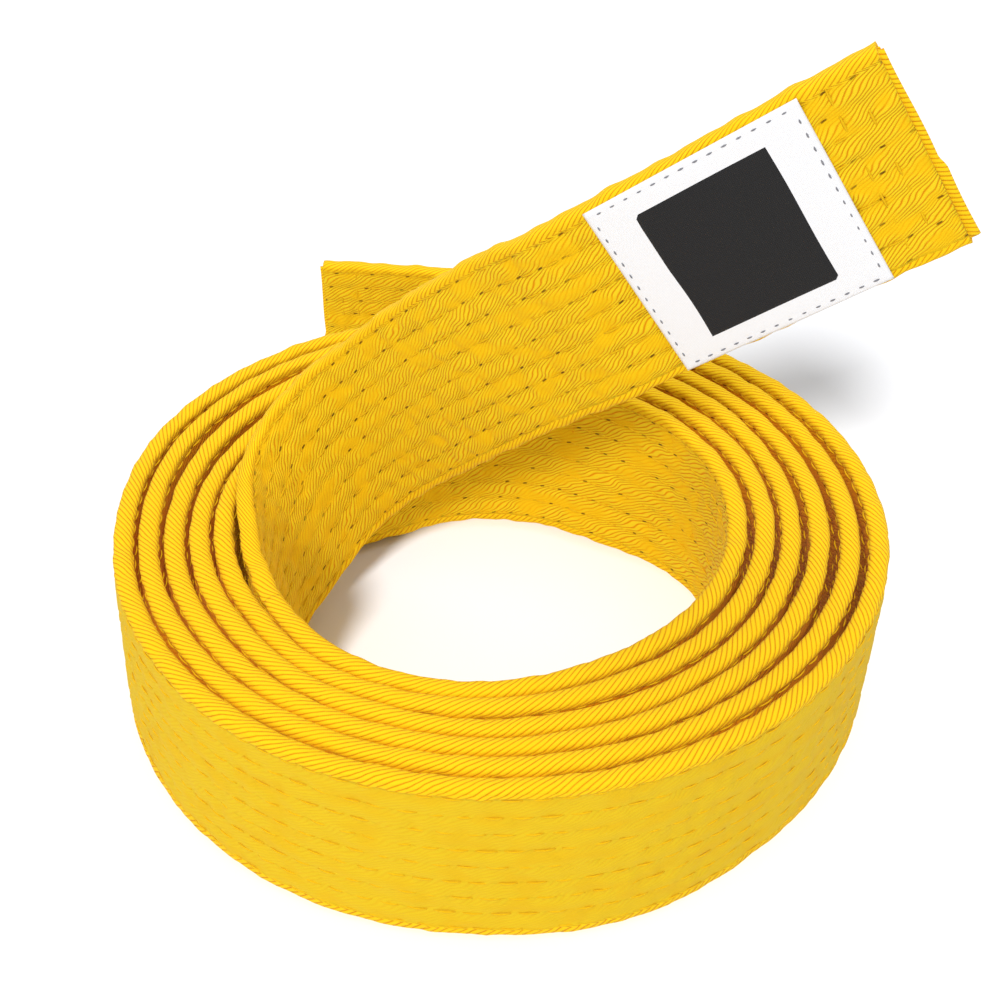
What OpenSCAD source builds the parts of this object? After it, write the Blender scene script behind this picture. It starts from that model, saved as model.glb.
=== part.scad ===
// Martial arts belt, coiled on its edge, with its label end raised across the coil
// and its other end loose behind it. Millimetres, +Z up, origin at the coil's centre
// on the surface that the belt stands on.

/* [Belt] */
// Width of the belt, from edge to edge
belt_w = 40; // [38:0.5:42]
// Thickness of the finished belt
belt_t = 4.4; // [4.2:0.1:4.5]
// Thickness of the twill cover
cover_t = 0.7; // [0.6:0.05:0.75]
// Thickness of one ply of the core
ply_t = 0.65; // [0.5:0.05:0.65]

/* [Coil] */
// Radius of the belt's middle where the innermost turn begins
root_r = 56; // [55:0.5:58]
// Number of turns
turns = 5.55; // [5.5:0.05:5.6]
// Distance from one turn to the next
pitch = 5.02; // [5:0.02:5.3]
// How far the inner turns bow inwards at the right and the back
bow_depth = 6.5; // [0:0.5:7]
// How far the outer turns stand out at the back left
slack_depth = 2.5; // [0:0.5:3]

/* [Stitching] */
// Distance of the outermost rows from the belt's edges
row_edge = 2.5; // [2:0.1:4]
// Width of one row of thread
thread_w = 0.5; // [0.3:0.1:0.8]
// How far the thread stands out of the cover
thread_h = 0.15; // [0.1:0.05:0.15]

/* [Label] */
// Length of the label, along the belt
label_l = 42; // [36:1:44]
// Distance of the label from the belt's end
label_inset = 14; // [12:1:16]
// Thickness of the label
label_t = 0.4; // [0.3:0.1:0.6]

/* [Hidden] */
PLIES = 4;
ROWS = 9;
STRETCHES = ["coil", "label_end", "outer_end"];

half_t = belt_t / 2;
half_w = belt_w / 2;
cavity_t = half_t - cover_t;
cavity_w = half_w - cover_t;

// The plies lie in the cover's cavity with a little air between them
ply_gap = 0.08;
ply_pitch = ply_t + ply_gap;
ply_half_w = cavity_w - 0.2;
ply_end_gap = 7;

row_pitch = (belt_w - 2 * row_edge) / (ROWS - 1);
row_end_gap = 11;
hem_rows = [5, 9.5];
hem_row_half = 18.4;
hem_fold_l = 6;
hem_fold_t = 1.3;
hem_fold_half = cavity_w - 0.4;
hem_lips = [0.4, 0.9];

label_half = half_w - 0.8;
label_n = half_t + thread_h;
panel_l = 26;
panel_w = 29;
panel_t = 0.15;
label_stitch = [1.8, 0.35, 0.15];
label_stitch_pitch = 3;
label_stitch_inset = 1.2;

// Directions round the coil, in degrees from +X, anticlockwise seen from above
root_angle = 215;
bow_side = 60;
slack_side = 130;
end_angle = root_angle + 360 * turns;
steps_per_turn = 30;

// Gap left between the coil and each free end, where the belt bends
bend_gap = 0.5;

// Route of the label end beyond the coil: the middle of the belt, and the direction of
// its upper edge there. The last five points lie on one straight line.
label_route = [
    [-51, -19.1, 20.4], [-49.8, -6.4, 23], [-46, 6.4, 28.5], [-39.5, 15, 36.5],
    [-30, 17.5, 45.5], [-20.5, 15, 54.5], [-11.5, 10, 64], [-2.5, 4.5, 73],
    [7, -0.5, 81.5], [16.3, -6, 89.2], [27.2, -8.5, 97], [38.4, -11, 105],
    [49.6, -13.5, 113], [60.8, -16, 121], [72, -18.5, 129]
];
label_ups = [
    [0.02, -0.02, 1], [-0.16, -0.12, 0.96], [-0.46, -0.16, 0.86], [-0.65, -0.03, 0.76],
    [-0.67, 0.13, 0.73], [-0.64, 0.23, 0.73], [-0.6, 0.27, 0.75], [-0.58, 0.25, 0.77],
    [-0.57, 0.2, 0.79], [-0.565, 0.12, 0.815], [-0.57, 0.06, 0.82], [-0.57, 0.06, 0.82],
    [-0.57, 0.06, 0.82], [-0.57, 0.06, 0.82], [-0.57, 0.06, 0.82]
];

// Route of the outer end beyond the coil, standing on its edge
outer_route = [
    [38, 76.5], [24, 87.5], [10, 97.5], [-5, 104.5], [-21, 108.5], [-36, 110.5], [-49.5, 111.5]
];

// Samples on each stretch between two route points, and the angle on the coil that leads into it.
// The wide layers need more of them where the label end twists.
route_steps = 3;
wide_steps = 6;
lead_angle = 14;
// Points before the straight part of the label end, counting the two that lead into it
points_before_straight = 13;

function unit(v) = v / norm(v);
function reversed(list) = [for (i = [len(list) - 1 : -1 : 0]) list[i]];
function last(list) = list[len(list) - 1];
function tail(list, first) = [for (i = [first : len(list) - 1]) list[i]];

// A smooth curve through the points, with a number of samples on each stretch
function near(points, i) = points[max(0, min(len(points) - 1, i))];
function curve_at(a, b, c, d, t) =
    0.5 * (2 * b + (c - a) * t + (2 * a - 5 * b + 4 * c - d) * t * t + (3 * b - a - 3 * c + d) * t * t * t);
function smooth(points, steps) = concat(
    [
        for (i = [0 : len(points) - 2])
            for (j = [0 : steps - 1])
                curve_at(near(points, i - 1), points[i], points[i + 1], near(points, i + 2), j / steps)
    ],
    [last(points)]
);

// The coil: the belt's middle line grows by one pitch a turn
function coil_r(a) =
    let(turn = (a - root_angle) / 360)
    let(bow = bow_depth * (1 - turn / turns) * (1 + cos(a - bow_side)) / 2)
    let(slack = slack_depth * turn / turns * pow(max(0, cos(a - slack_side)), 2))
    root_r + turn * pitch - bow + slack;
function coil_point(a) = coil_r(a) * [cos(a), sin(a)];
function coil_normal(a) =
    let(along = unit(coil_point(a + 1) - coil_point(a - 1)))
    [along[1], -along[0]];
function arc_angle(a, length) = length / coil_r(a) * 180 / PI;
function lifted(p, z) = [p[0], p[1], z];

coil_start = root_angle + arc_angle(root_angle, bend_gap / 2);
coil_end = end_angle - arc_angle(end_angle, bend_gap / 2);
coil_steps = round(turns * steps_per_turn);

function coil_side(n, over) =
    [
        for (i = [0 : coil_steps])
            let(a = coil_start - over + (coil_end - coil_start + 2 * over) * i / coil_steps)
            coil_point(a) + n * coil_normal(a)
    ];

// One layer of the belt on the coil, between two distances from its middle and two heights
module coil_band(n0, n1, z0, z1, over = 0) {
    translate([0, 0, z0])
        linear_extrude(z1 - z0)
            polygon(concat(coil_side(n1, over), reversed(coil_side(n0, over))));
}

// Rings of the label end: each is [middle, along, up, out], with the visible face on the out side
label_root = root_angle - arc_angle(root_angle, bend_gap / 2);
label_dir = unit(last(label_route) - label_route[len(label_route) - 2]);
function label_centres(gap, steps) = smooth(
    concat(
        [lifted(coil_point(label_root + lead_angle), half_w), lifted(coil_point(label_root), half_w)],
        [for (i = [0 : len(label_route) - 2]) label_route[i]],
        [last(label_route) - gap * label_dir]
    ),
    steps
);
function ring(c, lean, i) =
    let(along = unit(near(c, i + 1) - near(c, i - 1)))
    let(up = unit(lean - (lean * along) * along))
    [c[i], along, up, cross(along, up)];
function label_rings(gap = 0, steps = route_steps) =
    let(c = label_centres(gap, steps))
    let(leans = smooth(concat([[0, 0, 1], [0, 0, 1]], label_ups), steps))
    let(straight_from = points_before_straight * steps)
    [for (i = [steps : len(c) - 1]) if (i <= straight_from || i == len(c) - 1) ring(c, leans[i], i)];
label_end_frame = last(label_rings());

function corner(r, w, n) = r[0] + w * r[2] + n * r[3];
function section(r, w0, w1, n0, n1) = [corner(r, w0, n0), corner(r, w1, n0), corner(r, w1, n1), corner(r, w0, n1)];

// Faces of a tube of rings. Its two wide sides are cut along the same diagonal, so that
// a twisted layer keeps its thickness.
function side_faces(ring_size, first, rings, flip) =
    [
        for (i = [0 : rings - 2])
            for (j = [0 : 3])
                let(a = i * ring_size + first + j)
                let(b = i * ring_size + first + (j + 1) % 4)
                let(c = b + ring_size)
                let(d = a + ring_size)
                for (f = j < 2 ? [[a, d, c], [a, c, b]] : [[a, d, b], [b, d, c]])
                    flip ? reversed(f) : f
    ];

// One solid layer of the belt along the label end
module label_end_band(n0, n1, w0, w1, gap = 0, steps = route_steps) {
    rings = label_rings(gap, steps);
    count = len(rings);
    end = 4 * (count - 1);
    polyhedron(
        points = [for (r = rings) for (p = section(r, w0, w1, n0, n1)) p],
        faces = concat(
            side_faces(4, 0, count, false),
            [[0, 1, 2], [0, 2, 3]],
            [[end + 2, end + 1, end], [end + 3, end + 2, end]]
        )
    );
}

// The cover along the label end: a flat tube round the core
module label_end_tube() {
    rings = label_rings(steps = wide_steps);
    count = len(rings);
    end = 8 * (count - 1);
    polyhedron(
        points = [
            for (r = rings)
                for (p = concat(
                    section(r, -half_w, half_w, -half_t, half_t),
                    section(r, -cavity_w, cavity_w, -cavity_t, cavity_t)
                ))
                    p
        ],
        faces = concat(
            side_faces(8, 0, count, false),
            side_faces(8, 4, count, true),
            [for (j = [0 : 3]) let(k = (j + 1) % 4) for (f = [[j, k, k + 4], [j, k + 4, j + 4]]) f],
            [
                for (j = [0 : 3])
                    let(k = (j + 1) % 4)
                    for (f = [[j + 4, k + 4, k], [j + 4, k, j]])
                        [end + f[0], end + f[1], end + f[2]]
            ]
        )
    );
}

// Rings of the outer end, which stands upright
outer_root = end_angle + arc_angle(end_angle, bend_gap / 2);
outer_dir = unit(last(outer_route) - outer_route[len(outer_route) - 2]);
function outer_centres(gap) = smooth(
    concat(
        [coil_point(outer_root - lead_angle), coil_point(outer_root)],
        [for (i = [0 : len(outer_route) - 2]) outer_route[i]],
        [last(outer_route) - gap * outer_dir]
    ),
    route_steps
);
function outer_side(n, gap, over) =
    let(c = outer_centres(gap))
    [
        for (i = [route_steps : len(c) - 1])
            let(along = unit(near(c, i + 1) - near(c, i - 1)))
            let(shift = i == route_steps ? -over : i == len(c) - 1 ? over : 0)
            c[i] + shift * along + n * [along[1], -along[0]]
    ];

// One layer of the belt along the outer end
module outer_end_band(n0, n1, z0, z1, gap = 0, over = 0) {
    translate([0, 0, z0])
        linear_extrude(z1 - z0)
            polygon(concat(outer_side(n1, gap, over), reversed(outer_side(n0, gap, over))));
}

// Frames at the belt's two ends: X runs out of the belt, Y across it and Z out of its face
module at_label_end() {
    c = label_end_frame[0];
    x = label_end_frame[1];
    y = label_end_frame[2];
    z = label_end_frame[3];
    multmatrix([[x[0], y[0], z[0], c[0]], [x[1], y[1], z[1], c[1]], [x[2], y[2], z[2], c[2]]])
        children();
}
module at_outer_end() {
    c = last(outer_route);
    multmatrix([[outer_dir[0], 0, outer_dir[1], c[0]], [outer_dir[1], 0, -outer_dir[0], c[1]], [0, 1, 0, half_w]])
        children();
}

module block(x0, x1, y0, y1, z0, z1) {
    translate([x0, y0, z0])
        cube([x1 - x0, y1 - y0, z1 - z0]);
}

function ply_middle(k) = (k - (PLIES + 1) / 2) * ply_pitch;
function row_middle(k) = -half_w + row_edge + (k - 1) * row_pitch;

module cover_coil() {
    color("gold")
        difference() {
            coil_band(-half_t, half_t, 0, belt_w);
            coil_band(-cavity_t, cavity_t, cover_t, belt_w - cover_t, over = 1);
        }
}

module cover_label_end() {
    color("gold")
        label_end_tube();
}

module cover_outer_end() {
    color("gold")
        difference() {
            outer_end_band(-half_t, half_t, 0, belt_w);
            outer_end_band(-cavity_t, cavity_t, cover_t, belt_w - cover_t, over = 1);
        }
}

module ply_coil(k) {
    n = ply_middle(k);
    color("ivory")
        coil_band(n - ply_t / 2, n + ply_t / 2, half_w - ply_half_w, half_w + ply_half_w);
}

module ply_label_end(k) {
    n = ply_middle(k);
    color("ivory")
        label_end_band(n - ply_t / 2, n + ply_t / 2, -ply_half_w, ply_half_w, ply_end_gap, wide_steps);
}

module ply_outer_end(k) {
    n = ply_middle(k);
    color("ivory")
        outer_end_band(n - ply_t / 2, n + ply_t / 2, half_w - ply_half_w, half_w + ply_half_w, gap = ply_end_gap);
}

// Each row of stitches shows as a line of thread on both faces of the belt
module stitch_row_coil(k) {
    z = half_w + row_middle(k);
    color("goldenrod")
        for (n = [-half_t - thread_h, half_t])
            coil_band(n, n + thread_h, z - thread_w / 2, z + thread_w / 2);
}

module stitch_row_label_end(k) {
    w = row_middle(k);
    color("goldenrod")
        for (n = [-half_t - thread_h, half_t])
            label_end_band(n, n + thread_h, w - thread_w / 2, w + thread_w / 2, row_end_gap);
}

module stitch_row_outer_end(k) {
    z = half_w + row_middle(k);
    color("goldenrod")
        for (n = [-half_t - thread_h, half_t])
            outer_end_band(n, n + thread_h, z - thread_w / 2, z + thread_w / 2, gap = row_end_gap);
}

// The cover's raw edges, turned in between the plies' ends and the end of the belt
module hem_fold() {
    for (side = [0, 1])
        mirror([0, 0, side])
            block(-hem_fold_l, hem_lips[side], -hem_fold_half, hem_fold_half, ply_gap, ply_gap + hem_fold_t);
}

module hem_stitching() {
    for (x = hem_rows)
        for (n = [-half_t - thread_h, half_t])
            block(-x - thread_w / 2, -x + thread_w / 2, -hem_row_half, hem_row_half, n, n + thread_h);
}

module label() {
    color("white")
        at_label_end()
            block(-label_inset - label_l, -label_inset, -label_half, label_half, label_n, label_n + label_t);
}

module label_panel() {
    middle = -label_inset - label_l / 2;
    color("black")
        at_label_end()
            block(
                middle - panel_l / 2, middle + panel_l / 2, -panel_w / 2, panel_w / 2,
                label_n + label_t, label_n + label_t + panel_t
            );
}

// A line of stitches along X, centred on the origin
module stitch_line(length) {
    count = floor(length / label_stitch_pitch);
    for (i = [0 : count - 1])
        translate([(i - (count - 1) / 2) * label_stitch_pitch, 0, label_stitch[2] / 2])
            cube(label_stitch, center = true);
}

module label_stitching() {
    long = label_l - 2 * label_stitch_inset;
    wide = 2 * (label_half - label_stitch_inset);
    color("gray")
        at_label_end()
            translate([-label_inset - label_l / 2, 0, label_n + label_t])
                for (side = [-1, 1]) {
                    translate([0, side * wide / 2, 0])
                        stitch_line(long);
                    translate([side * long / 2, 0, 0])
                        rotate([0, 0, 90])
                            stitch_line(wide);
                }
}

cover_coil();
cover_label_end();
cover_outer_end();
for (k = [1 : PLIES]) {
    ply_coil(k);
    ply_label_end(k);
    ply_outer_end(k);
}
for (k = [1 : ROWS]) {
    stitch_row_coil(k);
    stitch_row_label_end(k);
    stitch_row_outer_end(k);
}
color("gold") at_label_end() hem_fold();  // hem_fold_label_end
color("gold") at_outer_end() hem_fold();  // hem_fold_outer_end
color("goldenrod") at_label_end() hem_stitching();  // hem_stitching_label_end
color("goldenrod") at_outer_end() hem_stitching();  // hem_stitching_outer_end
label();
label_panel();
label_stitching();
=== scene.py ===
# %% [markdown]
# # A coiled martial arts belt
#
# This lesson dresses a cotton belt that was built as a CAD frame. The belt is one long strip of
# folded twill, quilted lengthwise round four plies of webbing. It stands coiled on its edge, with
# the label end raised across the coil and the other end loose behind it. Everything here is cloth,
# so every CAD solid is replaced by a softer piece of the same size in the same place.

import math

import bmesh
import bpy
import numpy as np
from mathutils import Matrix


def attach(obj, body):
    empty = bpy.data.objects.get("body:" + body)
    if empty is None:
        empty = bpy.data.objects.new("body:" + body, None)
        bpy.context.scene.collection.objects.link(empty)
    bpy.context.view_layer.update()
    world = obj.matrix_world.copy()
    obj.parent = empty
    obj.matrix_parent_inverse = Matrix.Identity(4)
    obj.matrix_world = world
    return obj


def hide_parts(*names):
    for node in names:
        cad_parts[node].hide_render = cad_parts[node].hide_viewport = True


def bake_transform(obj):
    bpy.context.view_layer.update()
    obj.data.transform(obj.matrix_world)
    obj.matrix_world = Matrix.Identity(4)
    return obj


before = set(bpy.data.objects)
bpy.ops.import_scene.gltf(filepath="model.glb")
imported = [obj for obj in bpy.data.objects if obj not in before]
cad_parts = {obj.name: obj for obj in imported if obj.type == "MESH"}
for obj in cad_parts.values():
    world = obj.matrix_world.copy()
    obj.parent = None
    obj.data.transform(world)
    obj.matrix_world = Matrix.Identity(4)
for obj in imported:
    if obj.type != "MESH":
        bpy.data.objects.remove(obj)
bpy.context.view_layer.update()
MM = 0.001

# %% [markdown]
# ## The camera, the light and the floor
#
# A small product is usually shown from above the edge of a table. A long lens would flatten the
# coil, so this camera stands only 300 mm away and looks 41 degrees down at the middle of the coil.
# The lens is shifted a little upwards, which makes room for the raised end without tilting the
# camera. A white world and two broad lamps light the belt, and a wide sun lights only the floor.
# Only the raised end casts a lamp shadow, so the gaps between the turns stay brown and not black.

# %% Camera
AIM = np.array([0, 0, 20]) * MM
CAMERA_FAR = 300 * MM
CAMERA_RISE = math.radians(40.9)
LENS_MM = 46.26
SENSOR_MM = 36
LENS_SHIFT = (0.005, 0.067)

camera_data = bpy.data.cameras.new("camera")
camera_data.lens = LENS_MM
camera_data.sensor_width = SENSOR_MM
camera_data.shift_x, camera_data.shift_y = LENS_SHIFT
camera_data.clip_start = 10 * MM
camera = bpy.data.objects.new("camera", camera_data)
camera.location = AIM + CAMERA_FAR * np.array([0, -math.cos(CAMERA_RISE), math.sin(CAMERA_RISE)])
camera.rotation_euler = (math.pi / 2 - CAMERA_RISE, 0, 0)
bpy.context.scene.collection.objects.link(camera)
bpy.context.scene.camera = camera
bpy.context.scene.view_settings.view_transform = "Standard"
print("camera at", [round(c, 4) for c in camera.location])

# %% Lamps and world
LAMPS = {
    # name: (kind, place in metres, size in metres, power in watts or strength of a sun)
    "key_lamp": ("AREA", (-0.54, -1.56, 1.35), 0.4, 24.0),
    "top_lamp": ("AREA", (0.2, 0.4, 1.5), 1.2, 13.0),
    "floor_lamp": ("SUN", (-0.48, -1.56, 1.45), None, 4.0),
}
SUN_WIDTH = math.radians(10)
WORLD_STRENGTH = 0.68

for name, (kind, place, size, power) in LAMPS.items():
    lamp_data = bpy.data.lights.new(name, kind)
    if kind == "SUN":
        lamp_data.angle = SUN_WIDTH
    else:
        lamp_data.size = size
    lamp_data.energy = power
    lamp = bpy.data.objects.new(name, lamp_data)
    lamp.location = place
    toward = -lamp.location
    lamp.rotation_euler = toward.to_track_quat("-Z", "Y").to_euler()
    bpy.context.scene.collection.objects.link(lamp)
world = bpy.data.worlds.new("studio")
world.use_nodes = True
world.node_tree.nodes["Background"].inputs["Color"].default_value = (1, 1, 1, 1)
world.node_tree.nodes["Background"].inputs["Strength"].default_value = WORLD_STRENGTH
bpy.context.scene.world = world
print("lamps:", sorted(LAMPS))

# %% [markdown]
# ## Helpers for materials
#
# A finish is a small network of nodes. Writing `f.math("MULTIPLY", a, 2)` keeps such a network as
# readable as a formula: each argument is either a number or the output of another node.


# %% Node helpers
class Finish:
    """A material under construction, with short calls for the nodes it needs."""

    def __init__(self, name):
        self.material = bpy.data.materials.new(name)
        self.material.use_nodes = True
        self.tree = self.material.node_tree
        self.shader = self.tree.nodes["Principled BSDF"]

    def join(self, value, socket):
        if isinstance(value, bpy.types.NodeSocket):
            self.tree.links.new(value, socket)
        else:
            socket.default_value = value

    def math(self, operation, *values, clamp=False):
        node = self.tree.nodes.new("ShaderNodeMath")
        node.operation = operation
        node.use_clamp = clamp
        for value, socket in zip(values, node.inputs):
            self.join(value, socket)
        return node.outputs[0]

    def step(self, value, low, high):
        """Rises smoothly from 0 at low to 1 at high, and falls where low is above high."""
        node = self.tree.nodes.new("ShaderNodeMapRange")
        node.interpolation_type = "SMOOTHSTEP"
        falling = low > high
        self.join(value, node.inputs["Value"])
        node.inputs["From Min"].default_value = min(low, high)
        node.inputs["From Max"].default_value = max(low, high)
        node.inputs["To Min"].default_value = 1 if falling else 0
        node.inputs["To Max"].default_value = 0 if falling else 1
        return node.outputs["Result"]

    def uv(self):
        node = self.tree.nodes.new("ShaderNodeUVMap")
        node.uv_map = "UVMap"
        split = self.tree.nodes.new("ShaderNodeSeparateXYZ")
        self.tree.links.new(node.outputs[0], split.inputs[0])
        return node.outputs[0], split.outputs["X"], split.outputs["Y"]

    def attribute(self, name):
        node = self.tree.nodes.new("ShaderNodeAttribute")
        node.attribute_name = name
        return node.outputs["Fac"]

    def chance(self, first, second):
        """A random number from 0 to 1 for each pair of whole numbers."""
        pair = self.tree.nodes.new("ShaderNodeCombineXYZ")
        self.join(first, pair.inputs["X"])
        self.join(second, pair.inputs["Y"])
        node = self.tree.nodes.new("ShaderNodeTexWhiteNoise")
        node.noise_dimensions = "2D"
        self.tree.links.new(pair.outputs[0], node.inputs["Vector"])
        return node.outputs["Value"]

    def noise(self, vector, scale, detail=2.0, stretch=(1, 1, 1)):
        mapping = self.tree.nodes.new("ShaderNodeMapping")
        mapping.inputs["Scale"].default_value = stretch
        self.tree.links.new(vector, mapping.inputs["Vector"])
        node = self.tree.nodes.new("ShaderNodeTexNoise")
        node.inputs["Scale"].default_value = scale
        node.inputs["Detail"].default_value = detail
        self.tree.links.new(mapping.outputs[0], node.inputs["Vector"])
        return node.outputs["Fac"]

    def mix(self, factor, first, second):
        node = self.tree.nodes.new("ShaderNodeMix")
        node.data_type = "RGBA"
        sockets = [s for s in node.inputs if s.type == "RGBA"]
        self.join(factor, node.inputs["Factor"])
        self.join(first, sockets[0])
        self.join(second, sockets[1])
        return [s for s in node.outputs if s.type == "RGBA"][0]

    def bump(self, height, distance, strength=1.0):
        node = self.tree.nodes.new("ShaderNodeBump")
        node.inputs["Distance"].default_value = distance
        node.inputs["Strength"].default_value = strength
        self.join(height, node.inputs["Height"])
        self.tree.links.new(node.outputs[0], self.shader.inputs["Normal"])

    def surface(self, colour, roughness, sheen=0.0, specular=0.5):
        self.join(colour, self.shader.inputs["Base Color"])
        self.shader.inputs["Roughness"].default_value = roughness
        self.shader.inputs["Sheen Weight"].default_value = sheen
        self.shader.inputs["Specular IOR Level"].default_value = specular
        return self.material


def linear(red, green, blue):
    """A colour picked on screen, from 0 to 255, as the linear values that a shader takes."""
    values = [c / 255 for c in (red, green, blue)]
    return tuple(c / 12.92 if c <= 0.04045 else ((c + 0.055) / 1.055) ** 2.4 for c in values) + (1,)


print("node helpers ready")

# %% [markdown]
# ## Golden twill
#
# Twill is woven so that its threads make fine slanting ribs. On this belt the ribs run at about 28
# degrees to its length, 0.8 mm apart, and the quilting pulls them into waves. The ribs could be
# modelled, but they cover both faces of a belt 2.7 m long, so they are bump: a wave whose phase comes
# from the cloth's own UV map, which is in metres of cloth. That way the ribs run on round the folded
# edges like the strands of a rope. The grooves between the ribs get painted shade, a darker orange.
# Each needle hole is a short slit in the cloth, dented by bump and darkened with painted shade. The
# folded edges get a painted highlight. The outside of the outermost turn is duller and smoother from
# wear, and its darker colour is also painted shade that tames the key lamp on it. Cloth hidden
# between turns gets painted shade, a deeper orange.

# %% Twill of the cover
RIB_ALONG = 1.75 * MM
RIB_ACROSS = 0.92 * MM
ROW_EDGE = 2.5 * MM
BELT_W = 40 * MM
ROWS = 9
ROW_PITCH = (BELT_W - 2 * ROW_EDGE) / (ROWS - 1)
STITCH = 5.2 * MM
STAGGER = 0.618
STRAND_ALONG = 0.42 * MM
STRAND_ACROSS = 0.6 * MM
SLIT_HALF_W = (0.26 * MM, 0.08 * MM)
SLIT_HALF_L = (0.75 * MM, 0.3 * MM)
RIB_DEPTH = 0.13 * MM


def twill(name, ridge, valley_shade, deep, hole, faded_and_shaded, edge_highlight):
    f = Finish(name)
    uv, u, v = f.uv()
    on_face = f.attribute("on_face")
    worn_and_shaded = f.attribute("worn_and_shaded")
    wave = f.noise(uv, 190, 1.0, (0.8, 1.2, 1))
    ripple = f.noise(uv, 60, 1.0)
    bend = f.math("ADD", 0.4, f.math("MULTIPLY", on_face, 2.0))
    ribs = f.math("ADD", f.math("DIVIDE", u, RIB_ALONG), f.math("DIVIDE", v, RIB_ACROSS))
    ribs = f.math("ADD", ribs, f.math("MULTIPLY", wave, bend))
    ribs = f.math("ADD", ribs, f.math("MULTIPLY", ripple, bend))
    row = f.math("DIVIDE", f.math("ADD", f.attribute("across"), BELT_W / 2 - ROW_EDGE), ROW_PITCH)
    pull = f.math("SINE", f.math("MULTIPLY", row, 2 * math.pi))
    ribs = f.math("ADD", ribs, f.math("MULTIPLY", pull, f.math("MULTIPLY", on_face, 0.3)))
    rib = f.math("ABSOLUTE", f.math("SINE", f.math("MULTIPLY", ribs, math.pi)))
    strand = f.math("DIVIDE", u, STRAND_ALONG)
    strand = f.math("SUBTRACT", strand, f.math("DIVIDE", v, STRAND_ACROSS))
    strand = f.math("ABSOLUTE", f.math("SINE", f.math("MULTIPLY", strand, math.pi)))

    along = f.attribute("along")
    nearest = f.math("ROUND", row)
    beside = f.math("MULTIPLY", f.math("SUBTRACT", row, nearest), ROW_PITCH)
    cycle = f.math("SUBTRACT", f.math("DIVIDE", along, STITCH), f.math("MULTIPLY", nearest, STAGGER))
    number = f.math("ROUND", cycle)
    ahead = f.math("MULTIPLY", f.math("SUBTRACT", cycle, number), STITCH)
    slanted = f.math("ADD", beside, f.math("MULTIPLY", ahead, 0.15))
    chance = f.chance(nearest, number)
    slit = f.math(
        "MULTIPLY",
        f.step(f.math("ABSOLUTE", slanted), *SLIT_HALF_W),
        f.step(f.math("ABSOLUTE", ahead), *SLIT_HALF_L),
    )
    slit = f.math("MULTIPLY", slit, f.attribute("holes"))
    slit = f.math("MULTIPLY", slit, f.step(chance, 0.15, 0.75))

    fuzz = f.noise(uv, 2600, 3.0)
    patch = f.step(f.noise(uv, 150, 1.5, (0.7, 1.3, 1)), 0.46, 0.66)
    patch = f.math("MULTIPLY", patch, f.math("ADD", 0.25, f.math("MULTIPLY", on_face, 0.5)))
    shade = f.math("MULTIPLY", f.step(rib, 0.05, 0.8), f.math("ADD", 0.8, f.math("MULTIPLY", strand, 0.2)))
    shade = f.math("MAXIMUM", shade, f.math("MULTIPLY", worn_and_shaded, 0.7))
    # The rib grooves take the valley colour, which is painted shade.
    colour = f.mix(shade, linear(*valley_shade), linear(*ridge))
    colour = f.mix(patch, colour, linear(*deep))
    # The outermost turn's outside is duller from wear and darker from painted shade that tames the key lamp.
    colour = f.mix(f.math("MULTIPLY", worn_and_shaded, 0.55), colour, linear(*faded_and_shaded))
    # Cloth hidden between turns and inside the cover gets painted shade in the valley colour.
    colour = f.mix(f.math("MULTIPLY", f.attribute("hidden_shade"), 0.8), colour, linear(*valley_shade))
    # The folded edges get a painted highlight.
    edge = f.math("MULTIPLY", f.math("SUBTRACT", 1.0, on_face), f.math("MULTIPLY", shade, 0.6))
    colour = f.mix(edge, colour, linear(*edge_highlight))
    # The needle holes get the dark hole colour: painted shade in the slits.
    colour = f.mix(f.math("MULTIPLY", slit, 0.85), colour, linear(*hole))
    smooth = f.math("SUBTRACT", 1.0, f.math("MAXIMUM", patch, f.math("MULTIPLY", worn_and_shaded, 0.75)))
    height = f.math("MULTIPLY", f.math("POWER", rib, 0.7), smooth)
    height = f.math("ADD", height, f.math("MULTIPLY", strand, 0.12))
    height = f.math("ADD", height, f.math("MULTIPLY", fuzz, 0.15))
    height = f.math("SUBTRACT", height, f.math("MULTIPLY", slit, 1.5))
    f.bump(height, RIB_DEPTH)
    return f.surface(colour, 0.9, sheen=0.03, specular=0.12)


# Painted shade: the colour of the rib grooves and hidden cloth, the colour of the needle holes, and part of
# the duller colour of the outermost turn's outside, which is also worn. Painted highlight: the colour of the
# folded edges.
cover_twill = twill(
    "golden twill",
    ridge=(227, 199, 28),
    valley_shade=(214, 134, 0),
    deep=(226, 178, 6),
    hole=(84, 32, 0),
    faded_and_shaded=(206, 168, 26),
    edge_highlight=(238, 192, 10),
)
print("twill made:", cover_twill.name)

# %% [markdown]
# ## Thread, webbing, satin and the black weave
#
# The quilting thread is dyed like the cloth, so it only shows by its shine and shadow. The core is
# undyed webbing, which nobody sees unless the belt is cut. The label is white satin, woven so
# finely that it only shows as faint lines, and its panel is the same weave in black.


# %% The other finishes
def plain_weave(name, light, dark, pitch, depth, roughness, sheen):
    f = Finish(name)
    uv, u, v = f.uv()
    warp = f.math("ABSOLUTE", f.math("SINE", f.math("MULTIPLY", u, math.pi / pitch)))
    weft = f.math("ABSOLUTE", f.math("SINE", f.math("MULTIPLY", v, math.pi / pitch)))
    grain = f.noise(uv, 3000, 2.0)
    height = f.math("ADD", f.math("MULTIPLY", warp, weft), f.math("MULTIPLY", grain, 0.5))
    colour = f.mix(f.math("MULTIPLY", height, 0.7, clamp=True), linear(*dark), linear(*light))
    f.bump(height, depth)
    return f.surface(colour, roughness, sheen=sheen, specular=0.4)


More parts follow.
